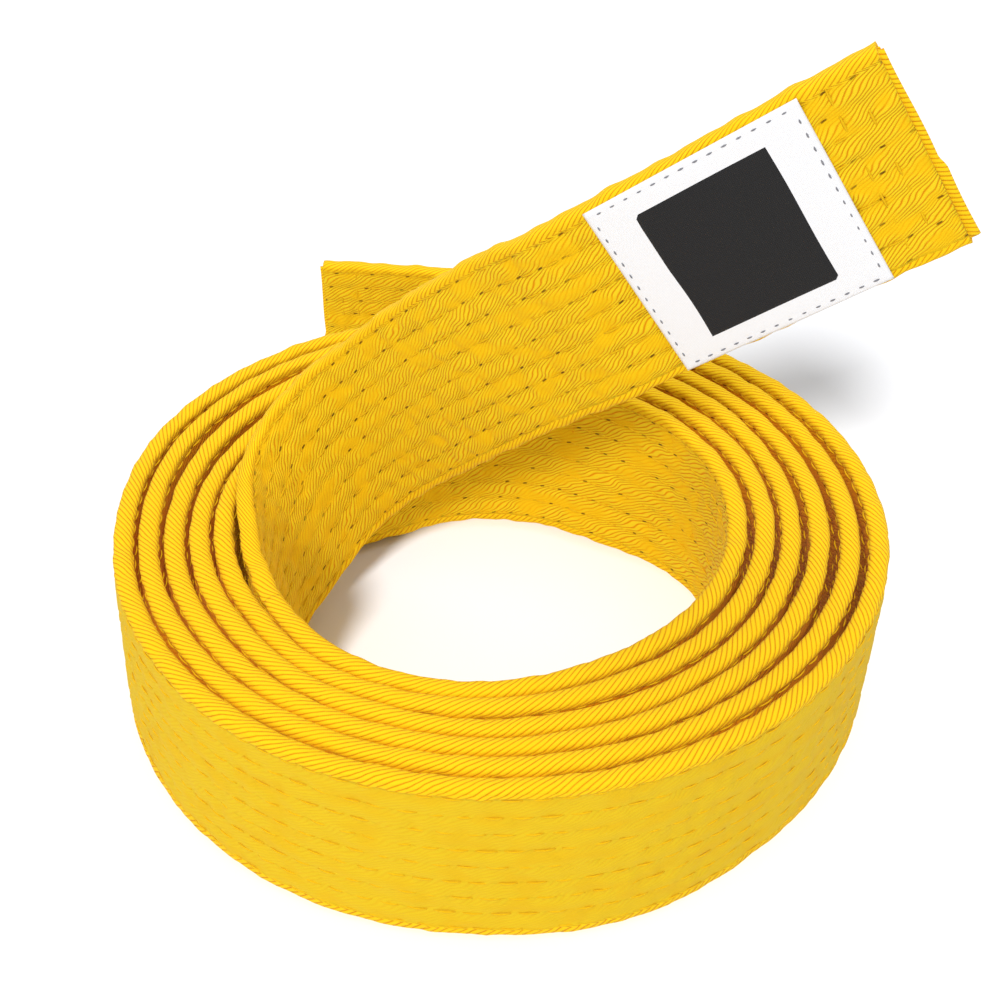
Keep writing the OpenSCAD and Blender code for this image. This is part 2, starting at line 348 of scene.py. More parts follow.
def spun_thread(name, colour, dark):
    f = Finish(name)
    place = f.tree.nodes.new("ShaderNodeTexCoord").outputs["Object"]
    twist = f.noise(place, 2200, 2.0, (1, 1, 2.5))
    f.bump(twist, 0.05 * MM)
    return f.surface(f.mix(twist, linear(*dark), linear(*colour)), 0.85, sheen=0.02, specular=0.15)


core_webbing = plain_weave("undyed webbing", (232, 222, 198), (196, 184, 158), 0.9 * MM, 0.15 * MM, 0.9, 0.1)
label_satin = plain_weave("white satin", (236, 236, 238), (216, 217, 220), 0.28 * MM, 0.02 * MM, 0.5, 0.1)
label_weave = plain_weave("black weave", (36, 35, 36), (12, 12, 13), 0.34 * MM, 0.05 * MM, 0.9, 0.02)
quilting_thread = spun_thread("golden thread", (224, 186, 14), (208, 156, 4))
label_thread = spun_thread("grey thread", (150, 150, 156), (92, 92, 98))
print("finishes:", len(bpy.data.materials))

# %% [markdown]
# ## The path of the belt
#
# The whole belt follows one line, its path: the raised label end, the coil, then the loose outer
# end. At each point of the path there is a little frame: "along" points down the belt, "up" points
# to its upper edge, and "out" points away from the face that carries the label. The coil is a
# spiral by a rule, and the two ends are smooth curves through a few given points. The numbers
# are those of the CAD frame, so the cloth ends up where the frame is.

# %% The coil's rule
ROOT_R = 56 * MM
TURNS = 5.55
TURN_PITCH = 5.02 * MM
BOW_DEPTH = 6.5 * MM
BOW_SIDE = 60
SLACK_DEPTH = 2.5 * MM
SLACK_SIDE = 130
ROOT_ANGLE = 215
END_ANGLE = ROOT_ANGLE + 360 * TURNS
HALF_W = BELT_W / 2
HALF_T = 2.2 * MM


def coil_radius(angle):
    turn = (angle - ROOT_ANGLE) / 360
    bow = BOW_DEPTH * (1 - turn / TURNS) * (1 + np.cos(np.radians(angle - BOW_SIDE))) / 2
    slack = SLACK_DEPTH * turn / TURNS * np.maximum(0, np.cos(np.radians(angle - SLACK_SIDE))) ** 2
    return ROOT_R + turn * TURN_PITCH - bow + slack


def coil_middle(angle, height=HALF_W):
    radius = coil_radius(angle)
    x, y = radius * np.cos(np.radians(angle)), radius * np.sin(np.radians(angle))
    return np.stack([x, y, np.full_like(x, height)], axis=-1)


def unit(vectors):
    return vectors / np.linalg.norm(vectors, axis=-1, keepdims=True)


def smooth_rise(value, low, high):
    t = np.clip((value - low) / (high - low), 0, 1)
    return t * t * (3 - 2 * t)


print("outermost radius:", round(float(coil_radius(np.array(END_ANGLE - 180.0))) / MM, 1), "mm")

# %% The routes of the two ends
LABEL_ROUTE = [
    [-51, -19.1, 20.4], [-49.8, -6.4, 23], [-46, 6.4, 28.5], [-39.5, 15, 36.5], [-30, 17.5, 45.5],
    [-20.5, 15, 54.5], [-11.5, 10, 64], [-2.5, 4.5, 73], [7, -0.5, 81.5], [16.3, -6, 89.2],
    [27.2, -8.5, 97], [38.4, -11, 105], [49.6, -13.5, 113], [60.8, -16, 121], [72, -18.5, 129],
]  # fmt: skip
LABEL_UPS = [
    [0.02, -0.02, 1], [-0.16, -0.12, 0.96], [-0.46, -0.16, 0.86], [-0.65, -0.03, 0.76],
    [-0.67, 0.13, 0.73], [-0.64, 0.23, 0.73], [-0.6, 0.27, 0.75], [-0.58, 0.25, 0.77],
    [-0.57, 0.2, 0.79], [-0.565, 0.12, 0.815], [-0.57, 0.06, 0.82], [-0.57, 0.06, 0.82],
    [-0.57, 0.06, 0.82], [-0.57, 0.06, 0.82], [-0.57, 0.06, 0.82],
]  # fmt: skip
OUTER_ROUTE = [[38, 76.5], [24, 87.5], [10, 97.5], [-5, 104.5], [-21, 108.5], [-36, 110.5], [-49.5, 111.5]]
LEAD_ANGLE = 14
ROUTE_STEPS = 12


def smooth_curve(points, steps):
    """A smooth curve through the points, with a number of steps on each stretch."""
    p = np.asarray(points, float)
    p = np.vstack([p[:1], p, p[-1:]])
    t = np.arange(steps)[:, None] / steps
    parts = []
    for a, b, c, d in zip(p, p[1:], p[2:], p[3:]):
        cubic = 3 * b - a - 3 * c + d
        parts.append(0.5 * (2 * b + (c - a) * t + (2 * a - 5 * b + 4 * c - d) * t**2 + cubic * t**3))
    return np.vstack([*parts, p[-1:]])


def respaced(along, values, stations):
    return np.stack([np.interp(stations, along, values[:, k]) for k in range(values.shape[1])], axis=1)


def measured(points):
    return np.concatenate([[0], np.cumsum(np.linalg.norm(np.diff(points, axis=0), axis=1))])


def framed(points, lean):
    """Frames along a line of points: along, up (as near to lean as it can be) and out."""
    along = unit(np.gradient(points, axis=0))
    up = unit(lean - (lean * along).sum(axis=1, keepdims=True) * along)
    return {"middle": points, "along": along, "up": up, "out": np.cross(along, up)}


label_points = np.vstack(
    [
        coil_middle(np.array([ROOT_ANGLE + LEAD_ANGLE, ROOT_ANGLE], float)),
        np.array(LABEL_ROUTE) * MM,
    ]
)
label_line = smooth_curve(label_points, ROUTE_STEPS)[ROUTE_STEPS:][::-1]
label_lean = smooth_curve([[0, 0, 1], [0, 0, 1], *LABEL_UPS], ROUTE_STEPS)[ROUTE_STEPS:][::-1]
outer_points = np.vstack(
    [
        coil_middle(np.array([END_ANGLE - LEAD_ANGLE, END_ANGLE], float)),
        np.column_stack([np.array(OUTER_ROUTE) * MM, np.full(len(OUTER_ROUTE), HALF_W)]),
    ]
)
outer_line = smooth_curve(outer_points, ROUTE_STEPS)[ROUTE_STEPS:]
print("label end", round(measured(label_line)[-1] / MM), "mm")
print("outer end", round(measured(outer_line)[-1] / MM), "mm")

# %% [markdown]
# ## How real cloth departs from the rule
#
# A belt that was rolled by hand isn't a perfect spiral. The innermost turn leans inwards at its foot
# where nothing holds it, the outer turns flare at their feet, the upper edges rise and fall by half a
# millimetre, and each turn wanders a little from the next. The wandering is a small sum of waves with
# a fixed seed, and the rest is set by direction round the coil. All layers depart alike, because the
# path moves and not the pieces.


# %% Departures from the rule
def wander(seed, waves, longest, size):
    """A smooth random function of one length: a sum of sine waves."""
    random = np.random.default_rng(seed)
    rates = 2 * math.pi / (longest * random.uniform(0.25, 1, waves))
    starts = random.uniform(0, 2 * math.pi, waves)
    return lambda x: size / math.sqrt(waves) * np.sin(np.multiply.outer(x, rates) + starts).sum(axis=-1)


def between(angle, rise_from, rise_to, fall_from, fall_to):
    """1 between two directions round the coil and 0 elsewhere, with smooth flanks, in degrees."""
    a = np.mod(angle - rise_from, 360)
    fall = smooth_rise(a, fall_from - rise_from, fall_to - rise_from)
    return smooth_rise(a, 0, rise_to - rise_from) * (1 - fall)


FOOT_LEAN = 13 * MM
FOOT_FLARE = {"left": 3.6 * MM, "front": 3.1 * MM, "right": 0.9 * MM}
NEST = 1.5 * MM
LOOSE_LEFT, LOOSE_RIGHT = 1.7 * MM, 0.9 * MM
rise_and_fall = wander(3, 6, 0.34, 0.45 * MM)
in_and_out = wander(5, 6, 0.30, 0.12 * MM)
FADE = 25 * MM
EDGE_LIFT = 0.5 * MM
COIL_POINTS = 6000

angles = np.linspace(ROOT_ANGLE, END_ANGLE, COIL_POINTS)
turn = (angles - ROOT_ANGLE) / 360
coil_line = coil_middle(angles)
coil_along = measured(coil_line)
COIL_LENGTH = coil_along[-1]
fade = smooth_rise(coil_along, 0, FADE) * smooth_rise(COIL_LENGTH - coil_along, 0, FADE)
radial = unit(coil_line * [1, 1, 0])
nest = NEST * np.clip(1 - turn / 4.6, 0, 1) * between(angles, ROOT_ANGLE, 238, 262, 295)
loose_left = LOOSE_LEFT * smooth_rise(turn, 2.2, 3.8) * between(angles, 100, 135, 155, 190)
loose_right = LOOSE_RIGHT * smooth_rise(turn, 3, 5) * between(angles, -50, -10, 30, 52)
shift = (in_and_out(coil_along) + loose_left + loose_right) * fade + nest
coil_line = coil_line + radial * shift[:, None]
coil_line[:, 2] += (EDGE_LIFT + rise_and_fall(coil_along)).clip(0) * fade
first_lean = smooth_rise(angles, 365, 420) * (1 - smooth_rise(angles, 480, 545))
second_lean = 0.4 * smooth_rise(angles, 725, 780) * (1 - smooth_rise(angles, 840, 900))
flare = FOOT_FLARE["left"] * between(angles, 165, 200, 235, 265)
flare += FOOT_FLARE["front"] * between(angles, 235, 265, 285, 310)
flare += FOOT_FLARE["right"] * between(angles, 285, 310, 370, 402)
flare *= np.clip((turn - 1.5) / 3.4, 0, 1) ** 1.5
foot = FOOT_LEAN * (first_lean + second_lean) - flare
coil_line = coil_line - radial * (foot / 2)[:, None]
coil_lean = np.array([0, 0, 1.0]) + radial * (foot / BELT_W)[:, None]
print("coil length", round(COIL_LENGTH / MM), "mm")

# %% [markdown]
# ## Paths as Blender objects
#
# Geometry Nodes can follow a path only if it is an object, so each stretch of the belt gets one: a
# line of points that carries its "up" and "out" directions as attributes. A detailed stretch has
# close stations, and the hidden middle turns of the coil have wider ones.

# %% Stations on each stretch
LABEL_LENGTH = measured(label_line)[-1]
OUTER_LENGTH = measured(outer_line)[-1]
FIRST_AT = {"label_end": 0.0, "coil": LABEL_LENGTH, "outer_end": LABEL_LENGTH + COIL_LENGTH}
LENGTHS = {"label_end": LABEL_LENGTH, "coil": COIL_LENGTH, "outer_end": OUTER_LENGTH}
lines = {
    "label_end": (label_line, label_lean),
    "coil": (coil_line, coil_lean),
    "outer_end": (outer_line, np.tile([0, 0, 1.0], (len(outer_line), 1))),
}
full = {}
for stretch, (points, lean) in lines.items():
    full[stretch] = framed(points, lean)
    full[stretch]["at"] = measured(points)


def stations(stretch, steps):
    """Distances along a stretch. steps is a list of (up to this distance, step)."""
    found, start = [], 0.0
    for end, step in steps:
        end = min(end, LENGTHS[stretch])
        count = max(1, round((end - start) / step))
        found.append(np.linspace(start, end, count, endpoint=False))
        start = end
    return np.concatenate([*found, [LENGTHS[stretch]]])


def frames_at(stretch, at):
    f = full[stretch]
    share = at * f["at"][-1] / LENGTHS[stretch]
    middle = respaced(f["at"], f["middle"], share)
    along, up = (unit(respaced(f["at"], f[k], share)) for k in ("along", "up"))
    return {"middle": middle, "along": along, "up": up, "out": np.cross(along, up), "at": at}


TO_THE_END = 9.0
INNERMOST_TURN = 390 * MM
OUTERMOST_TURN = 560 * MM
FINE = {
    "label_end": stations("label_end", [(TO_THE_END, 1.0 * MM)]),
    "outer_end": stations("outer_end", [(TO_THE_END, 1.0 * MM)]),
    "coil": stations(
        "coil",
        [
            (INNERMOST_TURN, 1.3 * MM),
            (COIL_LENGTH - OUTERMOST_TURN, 3.4 * MM),
            (TO_THE_END, 1.35 * MM),
        ],
    ),
}
COARSE = {s: stations(s, [(TO_THE_END, 7 * MM if s == "coil" else 3 * MM)]) for s in FINE}
print({s: len(a) for s, a in FINE.items()}, {s: len(a) for s, a in COARSE.items()})


# %% Path and section objects
helpers = []


def hidden_line(name, points, edges, directions=None):
    """A line of points for a node tree to read. It isn't part of the object and is removed later."""
    mesh = bpy.data.meshes.new(name)
    mesh.from_pydata([tuple(p) for p in points], edges, [])
    for key, vectors in (directions or {}).items():
        layer = mesh.attributes.new(key, "FLOAT_VECTOR", "POINT")
        layer.data.foreach_set("vector", vectors.astype(np.float32).ravel())
    obj = bpy.data.objects.new(name, mesh)
    bpy.context.scene.collection.objects.link(obj)
    helpers.append(obj)
    return obj


def path_object(name, frames):
    count = len(frames["at"])
    edges = [(i, i + 1) for i in range(count - 1)]
    return hidden_line(name, frames["middle"], edges, {"out": frames["out"], "up": frames["up"]})


def section_object(name, outline):
    """A closed outline, each point given as (out, up) from the middle of the belt."""
    count = len(outline)
    edges = [(i, (i + 1) % count) for i in range(count)]
    return hidden_line(name, [(n, -w, 0) for n, w in outline], edges)


print("helpers for paths ready")

# %% [markdown]
# ## A node tree that sweeps a section along the belt
#
# The cover and the plies are the same shape all the way along: a section carried along the path. A
# Curve to Mesh node does that. It would twist the section as it pleased, so the path's own "out"
# directions are set as the curve's normals first. The result is turned into a plain mesh at once,
# because the export takes meshes and not modifiers.


# %% The sweep tree
def new_tree(name, inputs, output):
    tree = bpy.data.node_groups.new(name, "GeometryNodeTree")
    for title, kind, value in inputs:
        socket = tree.interface.new_socket(title, in_out="INPUT", socket_type=kind)
        if value is not None:
            socket.default_value = value
    tree.interface.new_socket(output, in_out="OUTPUT", socket_type="NodeSocketGeometry")
    return tree, tree.nodes.new("NodeGroupInput"), tree.nodes.new("NodeGroupOutput")


def add_node(tree, kind, links=None, **settings):
    node = tree.nodes.new(kind)
    for key, value in settings.items():
        setattr(node, key, value)
    for key, source in (links or {}).items():
        if isinstance(source, bpy.types.NodeSocket):
            tree.links.new(source, node.inputs[key])
        else:
            node.inputs[key].default_value = source
    return node


sweep, given, made = new_tree(
    "Sweep a section along the belt",
    [
        ("Path", "NodeSocketGeometry", None),
        ("Section", "NodeSocketObject", None),
        ("Close the ends", "NodeSocketBool", False),
        ("Finish", "NodeSocketMaterial", None),
    ],
    "Strip",
)
rail = add_node(sweep, "GeometryNodeMeshToCurve", {"Mesh": given.outputs["Path"]})
out_way = add_node(sweep, "GeometryNodeInputNamedAttribute", {"Name": "out"}, data_type="FLOAT_VECTOR")
turned = add_node(
    sweep,
    "GeometryNodeSetCurveNormal",
    {"Curve": rail.outputs[0], "Normal": out_way.outputs["Attribute"]},
    mode="FREE",
)
shape = add_node(sweep, "GeometryNodeObjectInfo", {"Object": given.outputs["Section"]})
outline = add_node(sweep, "GeometryNodeMeshToCurve", {"Mesh": shape.outputs["Geometry"]})
swept = add_node(
    sweep,
    "GeometryNodeCurveToMesh",
    {
        "Curve": turned.outputs[0],
        "Profile Curve": outline.outputs[0],
        "Fill Caps": given.outputs["Close the ends"],
    },
)
smooth_faces = add_node(sweep, "GeometryNodeSetShadeSmooth", {"Geometry": swept.outputs[0]})
strip_finish = add_node(
    sweep,
    "GeometryNodeSetMaterial",
    {"Geometry": smooth_faces.outputs[0], "Material": given.outputs["Finish"]},
)
sweep.links.new(strip_finish.outputs[0], made.inputs[0])
print("sweep tree has", len(sweep.nodes), "nodes")


# %% Running a tree
def run_tree(tree, host, **inputs):
    """The mesh that a tree makes from a host object, with its inputs given by name."""
    modifier = host.modifiers.new(tree.name, "NODES")
    modifier.node_group = tree
    for item in tree.interface.items_tree:
        key = item.name.lower().replace(" ", "_")
        if item.item_type == "SOCKET" and item.in_out == "INPUT" and key in inputs:
            modifier[item.identifier] = inputs[key]
    evaluated = host.evaluated_get(bpy.context.evaluated_depsgraph_get())
    mesh = bpy.data.meshes.new_from_object(evaluated)
    host.modifiers.remove(modifier)
    return mesh


pieces = {}


def piece(name, mesh, material, node):
    """A finished piece that stands for one CAD node."""
    mesh.name = name
    obj = bpy.data.objects.new(name, mesh)
    bpy.context.scene.collection.objects.link(obj)
    mesh.materials.clear()
    mesh.materials.append(material)
    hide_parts(node)
    pieces[node] = obj


def points_of(mesh):
    co = np.zeros(len(mesh.vertices) * 3)
    mesh.vertices.foreach_get("co", co)
    return co.reshape(-1, 3)


print("tree runner ready")

# %% [markdown]
# ## The section of the cover
#
# Across the belt the cover is flat on both faces and round at both edges. Its outline needs points
# where the shape changes: at each row of stitches, beside it, and along the round edges. The ends
# of the belt are seen from close by, so they get twice as many points as the coil.

# %% Outlines
row_heights = -HALF_W + ROW_EDGE + ROW_PITCH * np.arange(ROWS)
EDGE_ROUND = 2.05 * MM
EDGE_FULLNESS = 0.78
EDGE_SWELL = 0.15 * MM
CLOTH_T = 0.7 * MM


def face_heights(per_row):
    """Heights of the outline's points up one face: evenly spaced, with one on every row."""
    steps = (ROWS - 1) * per_row
    low, high = row_heights[0], row_heights[-1]
    beyond = [HALF_W - EDGE_ROUND] if EDGE_ROUND < ROW_EDGE else []
    return np.concatenate([[-b for b in beyond], np.linspace(low, high, steps + 1), beyond])


def belt_outline(per_row, per_edge):
    """The outline round the belt as (out, up): up the label's face, over the top, down the other."""
    up_face = [(-HALF_T, w) for w in face_heights(per_row)]
    turn = np.linspace(math.pi, 0, per_edge + 2)[1:-1]
    n = (HALF_T + EDGE_SWELL) * np.sign(np.cos(turn)) * np.abs(np.cos(turn)) ** EDGE_FULLNESS
    w = HALF_W - EDGE_ROUND + EDGE_ROUND * np.sin(turn) ** EDGE_FULLNESS
    half = [*up_face, *zip(n, w)]
    return np.array(half + [(-n, -w) for n, w in half])


def round_the_outline(outline):
    """Distances round an outline, from its first point back to that point."""
    return measured(np.vstack([outline, outline[:1]]))


coarse_outline = belt_outline(3, 5)
fine_outline = belt_outline(6, 11)
print("points round the coil", len(coarse_outline), "and round the ends", len(fine_outline))

# %% [markdown]
# ## The relief of the quilting
#
# Nine rows of stitches pull the two faces together, so the cloth sinks along each row, sinks deeper
# at every needle hole, and swells between the rows. Between the holes it also puckers, in short
# slanting waves. A cloth simulation could find this shape, but at 5 mm a stitch on 2.7 m of belt it
# is quicker to write it down: a depth for every distance along and height across.

# %% Relief
GROOVE_DEPTH = 0.2 * MM
HOLE_DEPTH = 0.22 * MM
PUCKER = 0.24 * MM
MOST_PRESSED = 0.6 * MM


def field(seed, waves, along_size, across_size):
    """A smooth random function over the cloth, from about -1 to 1."""
    random = np.random.default_rng(seed)
    ks = 2 * math.pi / along_size * random.normal(0, 1, waves)
    kw = 2 * math.pi / across_size * random.normal(0, 1, waves)
    starts = random.uniform(0, 2 * math.pi, waves)

    def value(s, w):
        total = np.zeros(np.broadcast(s, w).shape)
        for a, b, c in zip(ks, kw, starts):
            total += np.sin(a * s + b * w + c)
        return total / math.sqrt(waves / 2)

    return value


pucker_fields = {1: field(11, 16, 6 * MM, 7 * MM), -1: field(12, 16, 6 * MM, 7 * MM)}
edge_field = field(13, 10, 16 * MM, 40 * MM)


def pressed(at, height, side):
    """How far the cloth sinks at a distance along the belt and a height across it."""
    row = (height - row_heights[0]) / ROW_PITCH
    nearest = np.clip(np.round(row), 0, ROWS - 1)
    beside = (row - nearest) * ROW_PITCH
    cycle = at / STITCH - nearest * STAGGER
    ahead = (cycle - np.round(cycle)) * STITCH
    groove = np.exp(-((beside / (0.85 * MM)) ** 2))
    hole = groove * np.exp(-((ahead / (1.1 * MM)) ** 2))
    pucker = PUCKER * np.where(side > 0, pucker_fields[1](at, height), pucker_fields[-1](at, height))
    slope = 0.05 * MM * edge_field(at, height)
    depth = GROOVE_DEPTH * groove + HOLE_DEPTH * hole + pucker * (1 - 0.5 * groove) + slope
    return np.clip(depth + 0.05 * MM, -0.12 * MM, MOST_PRESSED)


print("deepest press", MOST_PRESSED / MM, "mm of", CLOTH_T / MM, "mm of cloth")

# %% [markdown]
# ## The cover
#
# The cover is a strip of twill folded round the core: on each stretch, a shell with an outer wall
# that carries the quilting and a plain inner wall 0.7 mm further in. Both walls are swept, then
# joined at their ends. The UV map is the strip laid flat, in metres. The raised end is woven a
# little closer than the coil, and the folded edges are a little stretched, as on the real cloth.

# %% Walls of the cover
EDGE_ROLL = 0.16 * MM


def swept_points(stretch, at, outline):
    """The points of an outline carried through some stations: station, outline point, xyz."""
    mesh = run_tree(
        sweep,
        path_object("path", frames_at(stretch, at)),
        section=section_object("section", outline),
        close_the_ends=False,
        finish=cover_twill,
    )
    return points_of(mesh).reshape(len(at), len(outline), 3)


def quilted_wall(stretch, outline):
    """The outer wall, with the relief of the quilting on its faces and uneven edges."""
    at = FINE[stretch]
    frames = frames_at(stretch, at)
    points = swept_points(stretch, at, outline)
    distance = FIRST_AT[stretch] + at[:, None]
    height = np.broadcast_to(outline[None, :, 1], points.shape[:2])
    side = np.sign(outline[None, :, 0])
    flatness = np.clip(np.abs(outline[:, 0]) / HALF_T, 0, 1)[None, :] ** 2
    on_face = 1 - smooth_rise(np.abs(height), HALF_W - EDGE_ROUND, HALF_W)
    depth = pressed(distance, height, side) * on_face * flatness
    points = points - (side * depth)[..., None] * frames["out"][:, None, :]
    roll = EDGE_ROLL * edge_field(distance, height * 3) * (1 - on_face)
    return points + (np.sign(height) * roll)[..., None] * frames["up"][:, None, :]


def plain_wall(stretch, outline):
    """The inner wall, one thickness of cloth further in."""
    shrink = np.array([(HALF_T - CLOTH_T) / HALF_T, (HALF_W - CLOTH_T) / HALF_W])
    return swept_points(stretch, COARSE[stretch], outline * shrink)


def tube_faces(first, rings, count):
    """The faces between rings of count points each, numbered from first."""
    i, j = np.meshgrid(np.arange(rings - 1), np.arange(count), indexing="ij")
    a, b = first + i * count + j, first + i * count + (j + 1) % count
    return np.stack([a, b, b + count, a + count], axis=-1).reshape(-1, 4)


def shell_faces(rings, inner_rings, count):
    """Outer wall, inner wall, and last the two rims that join them at the ends."""
    start = rings * count
    last, last_inner = start - count, start + (inner_rings - 1) * count
    j = np.arange(count)
    k = (j + 1) % count
    return np.vstack(
        [
            tube_faces(0, rings, count),
            tube_faces(start, inner_rings, count)[:, ::-1],
            np.stack([start + j, start + k, k, j], axis=-1),
            np.stack([last + j, last + k, last_inner + k, last_inner + j], axis=-1),
        ]
    )


print("walls are ready to sweep")

# %% What the finish needs to know
HOLES_OUTSIDE = 0.12
FACE_MARGIN = 0.1 * MM
COIL_END_FADES = (0.04, 0.12)
TURN_FADE = 0.05


def coil_exposure(at, outline):
    """How far the coil's cloth is on the outside of the outermost turn, and how far it is hidden."""
    turn_at = np.interp(at, coil_along, turn)
    root_fade, end_fade = COIL_END_FADES
    near_ends = smooth_rise(turn_at, 0, root_fade) * (1 - smooth_rise(turn_at, TURNS - end_fade, TURNS))
    last_turn = smooth_rise(turn_at, TURNS - 1 - TURN_FADE, TURNS - 1 + TURN_FADE)
    first_turn = 1 - smooth_rise(turn_at, 1 - TURN_FADE, 1 + TURN_FADE)
    outermost = last_turn[:, None] * (outline[:, 0] > 0)
    innermost = first_turn[:, None] * (outline[:, 0] < 0)
    hidden = 1 - np.clip(outermost + innermost, 0, 1)
    return outermost * near_ends[:, None], hidden * near_ends[:, None]


def cloth_values(stretch, outline):
    """The values that the twill reads at each point, first of the outer wall, then of the inner."""
    at, inner_at = FINE[stretch], COARSE[stretch]
    rings, inner_count = len(at), len(inner_at) * len(outline)
    face = (np.abs(outline[:, 1]) <= row_heights[-1] + FACE_MARGIN) * 1.0
    holed = face * np.where(outline[:, 0] < 0, 1.0, HOLES_OUTSIDE)
    # These two masks carry wear and painted shade on the outermost turn's outside, and painted shade on
    # hidden cloth.
    worn_and_shaded = hidden_shade = np.zeros((rings, len(outline)))
    if stretch == "coil":
        worn_and_shaded, hidden_shade = coil_exposure(at, outline)
    inside = np.zeros(inner_count)
    return {
        "along": FIRST_AT[stretch] + np.repeat(np.concatenate([at, inner_at]), len(outline)),
        "across": np.tile(outline[:, 1], rings + len(inner_at)),
        "on_face": np.concatenate([np.tile(face, rings), inside]),
        "holes": np.concatenate([np.tile(holed, rings), inside]),
        "worn_and_shaded": np.concatenate([(face * worn_and_shaded).ravel(), inside]),
        "hidden_shade": np.concatenate([(face * hidden_shade).ravel(), inside + 1]),
    }


print("the finish reads along, across, on_face, holes, worn and sheltered")

# %% Cover pieces
WEAVE_CLOSER = 1.25
CLOSER_UNTIL = LABEL_LENGTH - 60 * MM
CLOSER_FADED = LABEL_LENGTH + 20 * MM
EDGE_STRETCH = 0.78
LAID_STEPS = 4000


def weave_scale(at):
    return 1 + (WEAVE_CLOSER - 1) * smooth_rise(-at, -CLOSER_FADED, -CLOSER_UNTIL)


def face_middle(outline):
    """The outline point in the middle of the label's face."""
    return int(np.argmin(np.abs(outline[:, 1]) + 1000 * (outline[:, 0] > 0)))


def lay_the_strip(mesh, faces, along, outline):
    """The cover's UV map: the cut strip laid flat, in metres of cloth."""
    count = len(outline)
    stretched = np.where(np.abs(outline[:, 1]) > row_heights[-1], EDGE_STRETCH, 1.0)
    steps = np.diff(round_the_outline(outline))
    round_cloth = np.concatenate([[0], np.cumsum(steps * (stretched + np.roll(stretched, -1)) / 2)])
    corner = faces.ravel() % count
    seam = (faces % count == 0).any(axis=1) & (faces % count == count - 1).any(axis=1)
    wrapped = np.repeat(seam, 4) & (corner == 0)
    v = round_cloth[np.where(wrapped, count, corner)] - round_cloth[face_middle(outline)]
    corner_at = along[faces.ravel()]
    table = np.linspace(0, FIRST_AT["outer_end"] + OUTER_LENGTH, LAID_STEPS)
    laid = np.concatenate([[0], np.cumsum(np.diff(table) * weave_scale(table[1:]))])
    u = np.interp(corner_at, table, laid)
    uv = mesh.uv_layers.new(name="UVMap")
    flat = np.stack([u, v * weave_scale(corner_at)], axis=1)
    uv.data.foreach_set("uv", flat.astype(np.float32).ravel())


def cover(stretch, outline):
    """The cover of one stretch. Its end rims are flat-shaded, which makes the joins fainter."""
    outer, inner = quilted_wall(stretch, outline), plain_wall(stretch, outline)
    faces = shell_faces(len(outer), len(inner), len(outline))
    points = np.vstack([outer.reshape(-1, 3), inner.reshape(-1, 3)])
    mesh = bpy.data.meshes.new("cover")
    mesh.from_pydata(points.tolist(), [], faces.tolist())
    smooth = np.ones(len(faces), bool)
    smooth[-2 * len(outline):] = False
    mesh.polygons.foreach_set("use_smooth", smooth)
    values_by_name = cloth_values(stretch, outline)
    for key, values in values_by_name.items():
        layer = mesh.attributes.new(key, "FLOAT", "POINT")
        layer.data.foreach_set("value", values.astype(np.float32))
    lay_the_strip(mesh, faces, values_by_name["along"], outline)
    mesh.validate()
    return mesh


outlines = {"label_end": fine_outline, "coil": coarse_outline, "outer_end": fine_outline}
for stretch, outline in outlines.items():
    mesh = cover(stretch, outline)
    piece(f"twill_{stretch}", mesh, cover_twill, f"cover_{stretch}")
    print(f"cover_{stretch}:", 2 * len(mesh.polygons), "triangles")

# %% [markdown]
# ## The core
#
# Four plies of webbing fill the cover. Nobody sees them, but they are what makes the belt 4.4 mm
# thick, so each is swept along the same path inside the cover, a little back from the belt's ends.

# %% Plies
PLIES = 4
PLY_T = 0.65 * MM
PLY_PITCH = 0.73 * MM
PLY_HALF_W = 19.1 * MM
PLY_END_GAP = 7 * MM
PLY_STEP = 3.5 * MM


def trimmed(stretch, at, gap):
    """Stations kept clear of the belt's own ends by a gap."""
    low = gap if stretch == "label_end" else 0
    high = LENGTHS[stretch] - (gap if stretch == "outer_end" else 0)
    inner = at[(at > low + MM) & (at < high - MM)]
    return np.concatenate([[low], inner, [high]])


def lay_flat(mesh, rings_at, outline):
    """A UV map in metres for a swept strip: distance along, and distance round the outline."""
    count = len(outline)
    along = np.repeat(rings_at, count)
    around = np.tile(round_the_outline(outline)[:-1], len(rings_at))
    vertex = np.zeros(len(mesh.loops), int)
    mesh.loops.foreach_get("vertex_index", vertex)
    uv = mesh.uv_layers.new(name="UVMap")
    uv.data.foreach_set("uv", np.stack([along[vertex], around[vertex]], axis=1).astype(np.float32).ravel())


for stretch in FINE:
    at = trimmed(stretch, stations(stretch, [(TO_THE_END, PLY_STEP)]), PLY_END_GAP)
    frames = frames_at(stretch, at)
    for k in range(1, PLIES + 1):
        n = (k - (PLIES + 1) / 2) * PLY_PITCH
        sign = -1 if stretch == "label_end" else 1
        n0, n1 = sorted((sign * n - PLY_T / 2, sign * n + PLY_T / 2))
        heights = np.linspace(-PLY_HALF_W, PLY_HALF_W, 7)
        outline = np.array([(n0, w) for w in heights] + [(n1, w) for w in heights[::-1]])
        mesh = run_tree(
            sweep,
            path_object("path", frames),
            section=section_object("section", outline),
            close_the_ends=True,
            finish=core_webbing,
        )
        lay_flat(mesh, at, outline)
        piece(f"webbing_{k}_{stretch}", mesh, core_webbing, f"ply_{k}_{stretch}")
print("plies:", PLIES * len(FINE), "pieces,", len(mesh.polygons), "faces in the last")

# %% [markdown]
# ## The quilting stitches
#
# There are more than nine thousand stitches, so they are instanced by Geometry Nodes: points are set out
# along the path at the stitch length, pushed out to one face, and a short bent thread is placed on
# each. Every row starts at its own distance, as rows do when they are sewn one after another.


